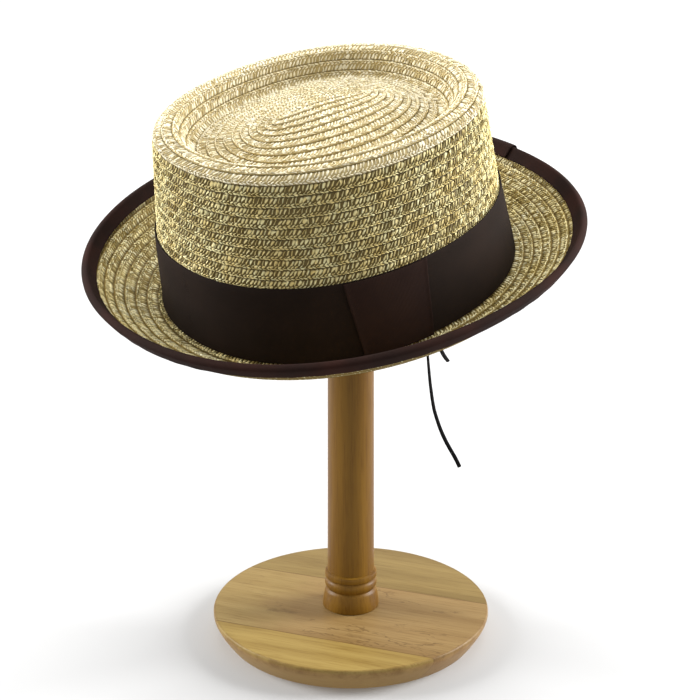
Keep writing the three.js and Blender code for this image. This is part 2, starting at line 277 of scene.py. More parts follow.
def rim_section():
    """Outsets and heights from the hollow over the crest to the wall, and their shares of its length."""
    turn = np.linspace(0, inner_slope, 16)
    turn_out, turn_up = inner_round * np.sin(turn), inner_round * (1 - np.cos(turn))
    fall = crest_height - gutter_height - 2 * turn_up[-1]
    full = outer_round + 2 * turn_out[-1] + fall / math.tan(inner_slope)
    hollow = np.stack([-full + turn_out, gutter_height + turn_up], axis=1)
    crest = np.stack([-outer_round - turn_out, crest_height - turn_up], axis=1)[::-1]
    quarter = np.radians(np.linspace(3, 90, 30))
    outside = np.stack([
        -outer_round * (1 - np.sin(quarter)),
        crest_height - outer_drop * (1 - np.cos(quarter)),
    ], axis=1)
    line = np.vstack([hollow, crest, outside])
    line[:, 0] -= crown_lean * (crest_height - outer_drop) / crown_height
    length = np.concatenate([[0], np.cumsum(np.linalg.norm(np.diff(line, axis=0), axis=1))])
    return line, length / length[-1]


rim_line, rim_share = rim_section()
trough_outset = float(rim_line[0, 0])
print("the floor starts", round(trough_outset, 4), "in from the foot")

# %% [markdown]
# Seen from above, the crown is a little squarer than an ellipse: its two powers are 2.12 where an
# ellipse has 2. Everything on the wall and the brim is measured straight out from that oval. The
# crown's floor rises in a low dome from the hollow to the middle.

# %% The oval and the floor of the crown


def oval(angle, outset):
    """Points on the crown's oval, and the direction straight out of it, for angles in degrees."""
    front, left = np.cos(np.radians(angle)), np.sin(np.radians(angle))
    n = crown_squareness
    reach = (np.abs(front)**n + np.abs(left)**n)**(-1 / n)
    across = np.sign(left) * np.abs(reach * left)**(n - 1) / crown_width
    along = np.sign(front) * np.abs(reach * front)**(n - 1) / crown_length
    size = np.hypot(across, along)
    out = np.stack([across / size, -along / size], axis=-1)
    foot = np.stack([crown_width / 2 * reach * left, -crown_length / 2 * reach * front], axis=-1)
    return foot + out * np.asarray(outset)[..., None], out


def floor_height(flat):
    """Height of the crown's floor at points on the plan."""
    angle = np.degrees(np.arctan2(flat[..., 0], -flat[..., 1]))
    gutter, _ = oval(angle, np.full(angle.shape, trough_outset))
    share = np.linalg.norm(flat, axis=-1) / np.linalg.norm(gutter, axis=-1)
    return gutter_height + floor_rise * (1 - np.minimum(share, 1)**floor_curve)


foot_ring, _ = oval(np.linspace(0, 360, 361), np.zeros(361))
print("the crown's foot is", round(route_length(foot_ring), 3), "m round")

# %% [markdown]
# The brim curls up. In section its slope grows from almost flat at the crown to steep at the edge,
# and it differs between the front, the sides and the back. A point on it is found by adding up short
# straight steps along the slope.

# %% The brim's section


def brim_value(values, angle):
    front, side, back = values
    mean = ((front + back) / 2 + side) / 2
    first = (front - back) / 2
    second = ((front + back) / 2 - side) / 2
    return mean + first * np.cos(np.radians(angle)) + second * np.cos(np.radians(2 * angle))


def straw_brim_width(angle):
    return brim_width * brim_value(brim_widths, angle) - seat_gap - ribbon_thickness


def brim_place(angle, distance, above):
    """Outset and height of a point that lies so far along the brim's upper face, and above it."""
    full = brim_width * brim_value(brim_widths, angle)
    root, edge = brim_value(brim_roots, angle), brim_value(brim_edges, angle)
    steps = 12
    outset, height = np.zeros(np.shape(distance)), np.zeros(np.shape(distance))
    for i in range(steps):
        share = np.maximum((i + 0.5) / steps * distance / full, 0)
        slope = np.radians(root + (edge - root) * share**brim_curl)
        outset = outset + distance / steps * np.cos(slope)
        height = height + distance / steps * np.sin(slope)
    slope = np.radians(root + (edge - root) * np.maximum(distance / full, 0)**brim_curl)
    return outset - above * np.sin(slope), height + above * np.cos(slope)


left_edge = brim_place(90.0, straw_brim_width(90.0), 0.0)
print("at the left the brim reaches", round(float(left_edge[0]), 4), "out and rises",
      round(float(left_edge[1]), 4))

# %% [markdown]
# The hat leans on the stand and touches its head at one place on the crown's floor, so it is turned
# about that place. A soft hat is never quite true either: the crown's foot stands a little low and
# off to one side, and that push fades out up the wall and over the brim. Because `beside_hat` adds
# the push, the braid and the ribbons all follow it together.

# %% Where the hat sits
hat_tilt = math.radians(18.4)
lean_direction = math.radians(33.34)
seat_direction, seat_share = 163.5, 0.267
head_dome_radius, stand_height = 90 * mm, 325 * mm

foot_push = np.array([1.2, 1.4, -2.2]) * mm
push_out, push_up = 28 * mm, 41 * mm

lean_axis = Vector((0, 0, 1)).cross(Vector((math.sin(lean_direction), -math.cos(lean_direction), 0)))
hat_turn = Matrix.Rotation(hat_tilt, 3, lean_axis)


def hat_position():
    reach = float(np.linalg.norm(oval(seat_direction, gutter_outset)[0]))
    flat = oval(seat_direction, gutter_outset)[0] * seat_share
    seat = Vector((*flat, gutter_height + floor_rise * (1 - seat_share**floor_curve)))
    drop = floor_rise * floor_curve * seat_share**(floor_curve - 1) / reach
    outwards = Vector((seat.x, seat.y, 0)).normalized()
    normal = Vector((outwards.x * drop, outwards.y * drop, 1)).normalized()
    seat -= normal * (straw_wall + seat_gap + head_dome_radius)
    return Vector((0, 0, stand_height - head_dome_radius)) - hat_turn @ seat


hat_origin = hat_position()
turn_rows = np.array(hat_turn).T
print("the hat's own origin is at", [round(value, 5) for value in hat_origin])


def to_world(points):
    """From the hat's own upright frame to the leaning hat on the stand."""
    return points @ turn_rows + np.array(hat_origin)


def pushed(outset, height):
    """How far a place on the wall or the brim is pushed out of true: most of all at the foot."""
    share = np.clip(1 - np.maximum(outset / push_out, height / push_up), 0, 1)
    return (share**2 * (3 - 2 * share))[..., None] * foot_push


def beside_hat(angle, outset, height):
    """World points from angles, outsets and heights in the hat's own frame."""
    flat, _ = oval(angle, outset)
    points = np.concatenate([flat, np.asarray(height)[..., None]], axis=-1)
    return to_world(points + pushed(outset, height))


# %% [markdown]
# ## Rows of braid
# The braid is wound in one spiral of about 41 rows, each some 5.8 mm further out than the last: 10 on
# the floor, 5 over the rim, 17 down the side and 8 on the brim. The spiral's heart is not a
# point but a short straight line, because the braid is first laid beside itself and only then turned,
# which makes an oval crown. So the floor's rows are blended from that line to the gutter's oval. The
# surface is worked out once on a grid of angles and rows, with the direction straight out of it.

# %% The surface as rows of braid
row_pitch = 5.8 * mm
floor_rows = 10.3
shoulder_rows = 5.4
side_rows = 17.2
brim_rows = 8.25
heart_front = np.array([-8.8, -18.1]) * mm
heart_back = np.array([-3.0, 30.4]) * mm
grid_angles = np.linspace(0, 360, 361)
grid_step = 1 / 16
all_rows = floor_rows + shoulder_rows + side_rows + brim_rows
spare_rows = 0.8
grid_rows = np.arange(-1, all_rows + spare_rows, grid_step)


def floor_rows_at(angle, row):
    share = (row / floor_rows)[..., None]
    heart = (heart_front + heart_back) / 2
    half = (heart_front - heart_back) / 2
    along = np.cos(np.radians(angle))[..., None]
    trough, _ = oval(angle, np.full(np.shape(angle), trough_outset))
    flat = (1 - share) * (heart + half * along) + share * trough
    return np.concatenate([flat, floor_height(flat)[..., None]], axis=-1)


def surface_grid():
    angle, row = np.meshgrid(grid_angles, grid_rows, indexing="ij")
    on_shoulder = np.clip((row - floor_rows) / shoulder_rows, 0, 1)
    outset = np.interp(on_shoulder, rim_share, rim_line[:, 0])
    height = np.interp(on_shoulder, rim_share, rim_line[:, 1])
    down_side = np.clip((row - floor_rows - shoulder_rows) / side_rows, 0, 1)
    foot_outset = outset * (1 - down_side)
    foot_height = height * (1 - down_side)
    over_brim = np.maximum((row - floor_rows - shoulder_rows - side_rows) / brim_rows, 0)
    brim_out, brim_up = brim_place(angle, over_brim * straw_brim_width(angle), 0)
    above = np.maximum(foot_height - gutter_height, 0) / (crest_height - gutter_height)
    foot_height = foot_height + above * crest_tip * np.cos(np.radians(angle - tip_direction))
    flat, _ = oval(angle, foot_outset + brim_out)
    points = np.concatenate([flat, (foot_height + brim_up)[..., None]], axis=-1)
    points += pushed(foot_outset + brim_out, foot_height + brim_up)
    floor = floor_rows_at(angle, row)
    return np.where((row < floor_rows)[..., None], floor, points)


hat_surface = surface_grid()
print("surface grid", hat_surface.shape[:2], "places")

# %% [markdown]
# The direction out of the surface comes from its slopes along and across the rows. At the heart and
# at the crown's foot the surface folds, so points and directions are evened out over about half a
# row, as the stiff braid itself does.

# %% Directions out of the surface
even_rows = 0.3
foot_spread, foot_even_rows = 0.5, 0.25


def evened(values, reach):
    """A running mean across the rows."""
    count = int(reach / grid_step)
    padded = np.concatenate([values[:, :1]] * count + [values] + [values[:, -1:]] * count, axis=1)
    sums = sum(padded[:, i:i + values.shape[1]] for i in range(2 * count + 1))
    return sums / (2 * count + 1)


def surface_directions():
    across = np.gradient(hat_surface, axis=1)
    around = np.gradient(hat_surface, axis=0)
    around[0] = around[-1] = (around[0] + around[-1]) / 2
    out = np.cross(across, around)
    flat = hat_surface[..., :2]
    step = 0.5 * mm
    east = floor_height(flat + [step, 0]) - floor_height(flat - [step, 0])
    north = floor_height(flat + [0, step]) - floor_height(flat - [0, step])
    floor_out = np.stack([-east, -north, np.full(east.shape, 2 * step)], axis=-1)
    out = np.where((grid_rows < floor_rows - 0.3)[None, :, None], floor_out, out)
    out /= np.linalg.norm(out, axis=-1, keepdims=True)
    out = evened(out, even_rows)
    return out / np.linalg.norm(out, axis=-1, keepdims=True)


surface_out = surface_directions()
foot_row = floor_rows + shoulder_rows + side_rows
near_foot = np.exp(-((grid_rows - foot_row) / foot_spread)**2)[None, :, None]
hat_surface += near_foot * (evened(hat_surface, foot_even_rows) - hat_surface)
middle_row = foot_row - side_rows / 2
middle_out = surface_out[0, int((middle_row - grid_rows[0]) / grid_step)]
print("half way down the front the wall faces", middle_out.round(2))


def on_surface(values, angle, row):
    """Reads a grid at any angle and row, blended between its four nearest places."""
    around = np.mod(angle, 360)
    outwards = np.clip((row - grid_rows[0]) / grid_step, 0, len(grid_rows) - 1.001)
    first, low = np.minimum(around.astype(int), 359), outwards.astype(int)
    share, rise = (around - first)[:, None], (outwards - low)[:, None]
    near = values[first, low] * (1 - rise) + values[first, low + 1] * rise
    far = values[first + 1, low] * (1 - rise) + values[first + 1, low + 1] * rise
    return near * (1 - share) + far * share


# %% [markdown]
# ## One stitch of the braid
# A flat braid of paper straw is a ladder: slanted rungs with dark gaps between them, and a plaited
# edge of shorter strands. The unit modelled here holds two steps of it, made of small four-sided
# beads that are added in edit mode, stretched and slanted, over a thin core that closes the gaps. The
# core's outer edge is turned down into a hem that meets the next row, so no light shows between rows.
# An Array modifier then repeats the unit. Sizes are those of the real braid: a step of 2.1 mm and a
# width of 6.6 mm, of which the row above hides the last millimetre.

# %% Model two steps of the braid
step_length = 2.1 * mm
braid_width = 6.6 * mm
core_width, core_thickness, core_depth = 6.5 * mm, 0.2 * mm, 0.15 * mm
core_hem = 0.9 * mm
bead_points = 10
strand_table = [
    {"name": "rung", "across": 0.75, "shift": 0.0, "length": 4.3, "width": 1.15, "slant": -27},
    {"name": "inner plait", "across": -1.55, "shift": 0.2, "length": 2.4, "width": 0.85, "slant": -58},
    {"name": "outer plait", "across": -2.6, "shift": 0.7, "length": 2.5, "width": 0.85, "slant": -104},
]
strand_thickness = 1.0 * mm
plait_lift = 0.1 * mm


def add_strand(row, number):
    """One straw strand: a bead with pointed ends, slanted in the braid's plane."""
    lift = 0 if row["name"] == "rung" else plait_lift
    bpy.ops.mesh.select_all(action="DESELECT")
    bpy.ops.mesh.primitive_uv_sphere_add(
        segments=4, ring_count=3, radius=0.5,
        location=((number - 0.5) * step_length + row["shift"] * mm, row["across"] * mm, lift),
        rotation=(math.radians(90), 0, math.radians(row["slant"])),
        scale=(row["width"] * mm, strand_thickness, row["length"] * mm),
    )


def braid_unit(name):
    unit = start(bpy.ops.mesh.primitive_grid_add, name, x_subdivisions=1, y_subdivisions=4, size=1)
    bpy.ops.object.mode_set(mode="EDIT")
    bpy.ops.mesh.select_all(action="SELECT")
    bpy.ops.transform.resize(value=(2 * step_length, core_width, 1), center_override=(0, 0, 0))
    bpy.ops.transform.translate(value=(0, 0, -core_depth - core_thickness))
    bpy.ops.mesh.extrude_region_move(TRANSFORM_OT_translate={"value": (0, 0, core_thickness)})
    bpy.ops.mesh.select_all(action="SELECT")
    bpy.ops.mesh.normals_make_consistent(inside=False)
    bpy.ops.mesh.select_mode(type="FACE")
    mesh = bmesh.from_edit_mesh(unit.data)
    for face in mesh.faces:
        face.select_set(abs(face.normal.x) > 0.5)
    bmesh.update_edit_mesh(unit.data)
    bpy.ops.mesh.delete(type="ONLY_FACE")
    bpy.ops.mesh.select_mode(type="VERT")
    bpy.ops.mesh.select_all(action="DESELECT")
    mesh = bmesh.from_edit_mesh(unit.data)
    for corner in mesh.verts:
        outer = corner.co.y < -0.49 * core_width
        under = corner.co.z < -core_depth - 0.5 * core_thickness
        corner.select_set(outer and under)
    bmesh.update_edit_mesh(unit.data)
    bpy.ops.transform.translate(value=(0, 0, -core_hem))
    for number in (0, 1):
        for row in strand_table:
            add_strand(row, number)
    bpy.ops.object.mode_set(mode="OBJECT")
    print(name, "unit has", len(unit.data.vertices), "points")
    return unit


# %% [markdown]
# The units are laid from the heart outwards. The length of every row is measured first, so that a
# step keeps its real size on a short row as on a long one. The braid tilts a little across its width,
# because each row lies on top of the next one out, and that makes the dark line between rows. Hand
# feeding and dry straw make every strand a little different, so each one is nudged. Three numbers go
# with every point for the material: `tone` is its strand's own shade, `crest` says how high it stands
# on the strand, and `across` how near it lies to the row above.

# %% Wind a stretch of braid on the hat
braid_depth = 0.75 * mm
braid_tilt = 0.42 * mm
strand_twist = math.radians(10)
strand_nudge = (0.19 * mm, 0.15 * mm, 0.1 * mm)
nearly = 0.00001
loose_end, line_places = 0.45, 40000
first_turn, last_turn = 0.0, all_rows - loose_end
turns = np.linspace(first_turn, last_turn, line_places)
centre_line = on_surface(hat_surface, turns * 360, turns)
braid_lengths = np.concatenate([[0], np.cumsum(np.linalg.norm(np.diff(centre_line, axis=0), axis=1))])
print("the braid is", round(float(braid_lengths[-1]), 2), "m long")


def wind(points, first_length):
    """Lays flat braid on the hat: x runs along it, y up to the row above and z out of the hat."""
    along, across, height = points.T
    turn = np.interp(first_length + along, braid_lengths, turns)
    row = turn - across / row_pitch
    lift = height - braid_depth - braid_tilt * across / (braid_width / 2)
    place_on = on_surface(hat_surface, turn * 360, row)
    out = on_surface(surface_out, turn * 360, row)
    return to_world(place_on + out * lift[:, None])


def nudge_strands(piece, chance):
    """Moves each strand a little and notes the tone, crest and place across of its points."""
    points = read_points(piece)
    upper = np.abs(points[:, 2] + core_depth) < nearly
    lower = np.abs(points[:, 2] + core_depth + core_thickness) < nearly
    hem = np.abs(points[:, 2] + core_depth + core_thickness + core_hem) < nearly
    core = (upper | lower | hem) & (np.abs(np.abs(points[:, 1]) % (core_width / 4)) < nearly)
    strands = np.nonzero(~core)[0]
    number = np.zeros(len(points), int)
    number[strands] = np.arange(len(strands)) // bead_points
    count = number.max() + 1
    crest = np.where(core, 0, np.clip(np.abs(points[:, 2]) / (0.4 * strand_thickness), 0.2, 1))
    across = points[:, 1] / (braid_width / 2)
    for label, values in (
            ("tone", chance.random(count)[number]), ("crest", crest), ("across", across)):
        layer = piece.data.attributes.new(label, "FLOAT", "POINT")
        layer.data.foreach_set("value", values.astype(np.float32))
    nudge = chance.normal(0, 1, (count, 3)) * strand_nudge
    twist = chance.normal(0, 1, count) * strand_twist
    centres = points[strands].reshape(-1, bead_points, 3).mean(1)[number[strands]]
    turn = twist[number[strands]]
    x, y, _ = (points[strands] - centres).T
    points[strands, 0] = centres[:, 0] + x * np.cos(turn) - y * np.sin(turn)
    points[strands, 1] = centres[:, 1] + x * np.sin(turn) + y * np.cos(turn)
    points[strands] += nudge[number[strands]]
    piece.data.vertices.foreach_set("co", points.ravel())


def braid_piece(name, from_turn, to_turn, seed):
    """Models a stretch of braid, winds it on the hat and closes its two cut ends."""
    first_length, last_length = np.interp([from_turn, to_turn], turns, braid_lengths)
    units = round((last_length - first_length) / (2 * step_length))
    piece = braid_unit(name)
    apply(
        piece, "ARRAY", count=units, use_relative_offset=False, use_constant_offset=True,
        constant_offset_displace=(2 * step_length, 0, 0), use_merge_vertices=True,
        merge_threshold=0.000001,
    )
    nudge_strands(piece, np.random.default_rng(seed))
    reshape(piece, lambda flat: wind(flat, first_length))
    bpy.context.view_layer.objects.active = piece
    bpy.ops.object.mode_set(mode="EDIT")
    bpy.ops.mesh.select_all(action="DESELECT")
    bpy.ops.mesh.select_mode(type="EDGE")
    bpy.ops.mesh.select_non_manifold(extend=False, use_wire=False, use_multi_face=False,
                                     use_non_contiguous=False, use_verts=False)
    bpy.ops.mesh.fill_holes(sides=0)
    bpy.ops.mesh.select_mode(type="VERT")
    bpy.ops.object.mode_set(mode="OBJECT")
    smooth(piece, 80)
    place(piece, "straw_braid", "straw_body")
    print(name, 2 * units, "steps")
    return piece


# %% [markdown]
# The whole braid would be one very heavy mesh, so it is wound in four stretches: the top with its rim,
# the wall, the part under the band and the brim. They also need different tints later.

# %% Wind the whole braid
top_end = floor_rows + shoulder_rows - 0.1
band_share = 0.42
band_top_row = foot_row - side_rows * band_share
brim_start = foot_row + 0.3
braid_top = braid_piece("braid_top", first_turn, top_end, 1)
braid_side = braid_piece("braid_side", top_end, band_top_row, 2)
braid_foot = braid_piece("braid_foot", band_top_row, brim_start, 3)
braid_brim = braid_piece("braid_brim", brim_start, last_turn, 4)

# %% [markdown]
# ## Ribbons
# All ribbons are the same kind of thing: a woven strip with thin edges. Each is modelled as a flat
# grid, one unit long and one wide, laid on the hat by a function of its two numbers, and given its
# thickness by a Solidify modifier. A ring's first and last columns meet, so they are merged first.

# %% A ribbon laid on the hat
edge_share, edge_steps = 0.35, 2


def ribbon(name, lay, columns, lines, thickness, closed):
    """Lays a flat grid by a function of its places along and across, and thickens it."""
    piece = start(bpy.ops.mesh.primitive_grid_add, name, x_subdivisions=columns,
                  y_subdivisions=lines, size=1)
    flat = read_points(piece) + [0.5, 0.5, 0]
    layer = piece.data.attributes.new("along", "FLOAT_VECTOR", "POINT")
    layer.data.foreach_set("vector", flat.astype(np.float32).ravel())
    reshape(piece, lambda points: lay(flat[:, 0], flat[:, 1]))
    if closed:
        tidy_mesh(piece)
    apply(piece, "SOLIDIFY", thickness=thickness, offset=0, use_even_offset=True)
    tidy_mesh(piece)
    apply(piece, "BEVEL", width=thickness * edge_share, segments=edge_steps, limit_method="ANGLE",
          angle_limit=math.radians(50))
    smooth(piece, 60)
    return piece


# %% [markdown]
# ### Hatband
# The band is 41 mm wide and stands on the brim. It follows the crown's wall, which leans in, so the
# band is a slice of a cone. Woven ribbon pulled round a crown is never quite flat: its edges wander
# by a fraction of a millimetre.

# %% Hatband
band_foot, band_height, band_ripple = 0.7 * mm, 41 * mm, 0.1 * mm
wall_slant = math.hypot(crown_lean, crown_height) / crown_height


def beside_wall(height, offset):
    """Outset of a place beside the crown's wall."""
    return -crown_lean * height / crown_height + offset * wall_slant


def lay_band(along, across):
    angle = 360 * along
    height = band_foot + (band_height - band_foot) * across
    wave = np.radians(angle)
    ripple = band_ripple * np.sin(7 * wave + 1) * np.sin(3 * wave) * (2 * across - 1)
    middle = seat_gap + ribbon_thickness / 2
    return beside_hat(angle, beside_wall(height, middle + ripple), height)


hatband = ribbon(
    "hatband_ribbon", lay_band, columns=240, lines=9, thickness=0.7 * mm, closed=True)
place(hatband, "ribbon", "hatband")

# %% [markdown]
# ### Tab
# A short piece of the same ribbon wraps the band where its ends meet. It is folded round the band, so
# its two sides are soft folds and not cut edges. It is wider at the top than at the foot.

# %% Tab over the band's join
tab_centre = 71
tab_top_width, tab_foot_width = 46 * mm, 37 * mm
lap_gap = 0.45 * mm
fold_height, fold_share = 0.35 * mm, 0.05
foot_turn = 360 * tab_foot_width / (math.pi * (crown_length + crown_width) / 2)


def lay_tab(along, across):
    height = band_foot + (band_height - band_foot) * across
    spread = 1 + (tab_top_width / tab_foot_width - 1) * height / band_height
    angle = tab_centre + foot_turn * (along - 0.5) * spread
    side = np.abs(2 * along - 1)
    fold = fold_height * np.exp(-((1 - side) / fold_share)**2)
    middle = seat_gap + ribbon_thickness + lap_gap + ribbon_thickness / 2
    return beside_hat(angle, beside_wall(height, middle + fold), height)


band_tab = ribbon("tab_ribbon", lay_tab, columns=40, lines=9, thickness=0.9 * mm, closed=False)
place(band_tab, "ribbon", "band_tab")

# %% [markdown]
# ### Edge binding
# A narrow ribbon is folded over the brim's edge and sewn down on both faces. In section it is a U. One
# number runs across the strip: two fifths of it lie under the brim, a fifth turns round the edge and
# two fifths lie on top. Sewing gathers such a strip slightly, which shows as small puckers at its
# edges. At the back the strip's end laps over its start, so a short second strip lies over the first.

# %% Binding and its lapped end
binding_width, binding_under, binding_tuck = 7.4 * mm, 6 * mm, 0.9 * mm
turn_share, pucker_height = 0.2, 0.12 * mm


def fold_over(angle, across, gap, pucker):
    """World points of the folded strip's middle layer."""
    middle = gap + ribbon_thickness / 2
    edge = straw_brim_width(angle) - binding_tuck
    flat_share = (1 - turn_share) / 2
    under = np.clip(across / flat_share, 0, 1)
    over = np.clip((across - flat_share - turn_share) / flat_share, 0, 1)
    bend = np.clip((across - flat_share) / turn_share, 0, 1) * math.pi
    reach = straw_wall / 2 + middle
    distance = edge - binding_under * (1 - under) - binding_width * over + middle * np.sin(bend)
    lifted = np.where(across > 0.5, 1, -1) * pucker
    above = -straw_wall / 2 - reach * np.cos(bend) + lifted
    outset, height = brim_place(angle, distance, above)
    return beside_hat(angle, outset, height)


def lay_binding(along, across):
    angle = 360 * along
    ends = np.abs(2 * across - 1)**4
    pucker = pucker_height * ends * np.sin(np.radians(angle) * 61) * np.sin(np.radians(angle) * 7 + 2)
    return fold_over(angle, across, seat_gap, pucker)


binding = ribbon(
    "binding_ribbon", lay_binding, columns=360, lines=23, thickness=0.8 * mm, closed=True)
place(binding, "ribbon", "brim_binding")

lap_start, lap_length = 178, 30 * mm
lap_radius = crown_length / 2 + float(brim_place(180.0, straw_brim_width(180.0), 0.0)[0])
lap_turn = 360 * lap_length / (2 * math.pi * lap_radius)


def lay_lap(along, across):
    angle = lap_start + lap_turn * along
    return fold_over(angle, across, seat_gap + ribbon_thickness + lap_gap, 0.0)


lap = ribbon("lap_ribbon", lay_lap, columns=24, lines=23, thickness=0.9 * mm, closed=False)
place(lap, "ribbon", "binding_lap")

# %% [markdown]
# ### Sweatband
# Inside the crown's foot runs a plain dark band that takes up sweat and holds the drawstring. From the
# side only the drawstring shows. It is a strip like the others, on the wall's inner face.

# %% Sweatband
sweatband_height, sweatband_thickness = 32 * mm, 1 * mm
sweatband_play, sweatband_wave = 0.1 * mm, 0.15 * mm


def lay_sweatband(along, across):
    angle = 360 * along
    height = sweatband_height * across
    wave = sweatband_wave * np.sin(np.radians(angle) * 9) * across
    middle = -straw_wall - seat_gap - sweatband_thickness / 2 - sweatband_play
    return beside_hat(angle, beside_wall(height, middle + wave), height)


sweatband = ribbon(
    "sweatband_cloth", lay_sweatband, columns=240, lines=8, thickness=0.7 * mm, closed=True)
place(sweatband, "sweatband_cloth", "sweatband")

# %% [markdown]
# ## Stand
# The disc, the pole and the head are turned on a lathe. Each is modelled from the foot up: a filled
# circle is extruded by one step, scaled to the width there, and extruded again. A turner's gouge
# leaves rounded beads and grooves, so the steps follow arcs.

# %% Turn a piece from the foot up


def turn_up(name, outline, sides):
    (radius, height), *rest = outline
    piece = start(
        bpy.ops.mesh.primitive_circle_add, name, vertices=sides, radius=radius,
        fill_type="NGON", location=(0, 0, height),
    )
    bpy.ops.object.transform_apply(location=True)
    bpy.ops.object.mode_set(mode="EDIT")
    bpy.ops.mesh.select_all(action="SELECT")
    for next_radius, next_height in rest:
        bpy.ops.mesh.extrude_region_move(
            TRANSFORM_OT_translate={"value": (0, 0, next_height - height)})
        factor = next_radius / radius
        bpy.ops.transform.resize(value=(factor, factor, 1), center_override=(0, 0, next_height))
        radius, height = next_radius, next_height
    bpy.ops.object.mode_set(mode="OBJECT")
    tidy_mesh(piece, 0.000001)
    smooth(piece, 30)
    return piece


def arc(centre, radii, first, last, steps):
    """Points of an elliptic arc as radius and height, for turns in degrees."""
    around = np.radians(np.linspace(first, last, steps + 1))
    return [(centre[0] + radii[0] * math.cos(t), centre[1] + radii[1] * math.sin(t)) for t in around]


# %% [markdown]
# ### Disc
# The base is a round board with its side cut back towards the floor, so that it looks thinner than it
# is. A formula gives that slightly hollow side, an arc rounds the upper edge, and a blind hole in the
# middle takes the pole's tenon.

# %% Disc
disc_radius, disc_thickness = 84 * mm, 15 * mm
disc_undercut, disc_widest, disc_belly = 7.4 * mm, 12.5 * mm, 1.3
disc_edge = 1.2 * mm
tenon_radius, tenon_length = 10 * mm, 9 * mm
disc_outline = [
    (disc_radius - disc_undercut * (1 - share)**disc_belly, disc_widest * share)
    for share in np.linspace(0, 1, 10).tolist()
]
disc_outline += arc(
    (disc_radius - disc_edge, disc_thickness - disc_edge), (disc_edge, disc_edge), 0, 90, 4)
disc_outline += [
    (tenon_radius + seat_gap, disc_thickness),
    (tenon_radius + seat_gap, disc_thickness - tenon_length - seat_gap),
]
stand_disc = turn_up("disc_wood", disc_outline, sides=160)
place(stand_disc, "stand_wood", "stand_disc")

# %% [markdown]
# ### Pole
# The pole has a turned foot with a bead between two grooves, and a plain shaft above it that is cut
# back from a collar. The foot's outline is given as shares of its height and of its largest radius,
# read from below upwards. A tenon at each end goes into the disc and into the head.

# %% Pole
pole_top, pole_foot = 13 * mm, 14.1 * mm
turning_height, turning_radius, shaft_start = 29.5 * mm, 17.45 * mm, 0.3 * mm
head_radius, head_edge, head_round = 55 * mm, 12 * mm, 5 * mm
head_tenon_radius, head_tenon_length = 8 * mm, 14 * mm
dome_centre = stand_height - head_dome_radius
dome_foot = dome_centre + math.sqrt(head_dome_radius**2 - head_radius**2)
head_underside = dome_foot - head_edge
pole_base = disc_thickness + seat_gap
turning_table = [
    (0.0, 0.975), (0.03, 0.985), (0.18, 0.955), (0.33, 0.9), (0.355, 0.885), (0.375, 0.85),
    (0.395, 0.825), (0.415, 0.84), (0.44, 0.875), (0.48, 0.9), (0.52, 0.905), (0.56, 0.895),
    (0.585, 0.87), (0.605, 0.845), (0.62, 0.84), (0.635, 0.86), (0.65, 0.892), (0.68, 0.9),
    (0.74, 0.898), (0.765, 0.885), (0.778, 0.85), (0.785, 0.815), (1.0, 0.809),
]
pole_outline = [
    (tenon_radius, disc_thickness - tenon_length),
    (tenon_radius, pole_base),
    *[(turning_radius * width, pole_base + turning_height * share) for share, width in turning_table],
    (pole_foot, pole_base + turning_height + shaft_start),
    (pole_top, head_underside - seat_gap),
    (head_tenon_radius, head_underside - seat_gap),
    (head_tenon_radius, head_underside + head_tenon_length),
]
stand_pole = turn_up("pole_wood", pole_outline, sides=96)
place(stand_pole, "stand_wood", "stand_pole")

# %% [markdown]
# ### Head
# The crown hides the head that carries it. A plain low dome does that work on such a stand: it touches
# the crown's floor at one place, and the hat leans over it.

# %% Head
dome_turn = math.degrees(math.acos(head_radius / head_dome_radius))
head_outline = [
    (head_tenon_radius + seat_gap, head_underside + head_tenon_length + seat_gap),
    (head_tenon_radius + seat_gap, head_underside),
    *arc((head_radius - head_round, head_underside + head_round), (head_round, head_round), -90, 0, 6),
    *arc((0, dome_centre), (head_dome_radius, head_dome_radius), dome_turn, 89, 12),
]
stand_head = turn_up("head_wood", head_outline, sides=96)
place(stand_head, "stand_wood", "stand_head")

# %% [markdown]
# ## Materials
# Each finish is built from nodes. `Finish` keeps that short: it makes a material with its main shader
# and has a line for each kind of node that is used here. A pattern on Object coordinates stays on its
# piece, because every piece has its place in its mesh.

# %% Node helper


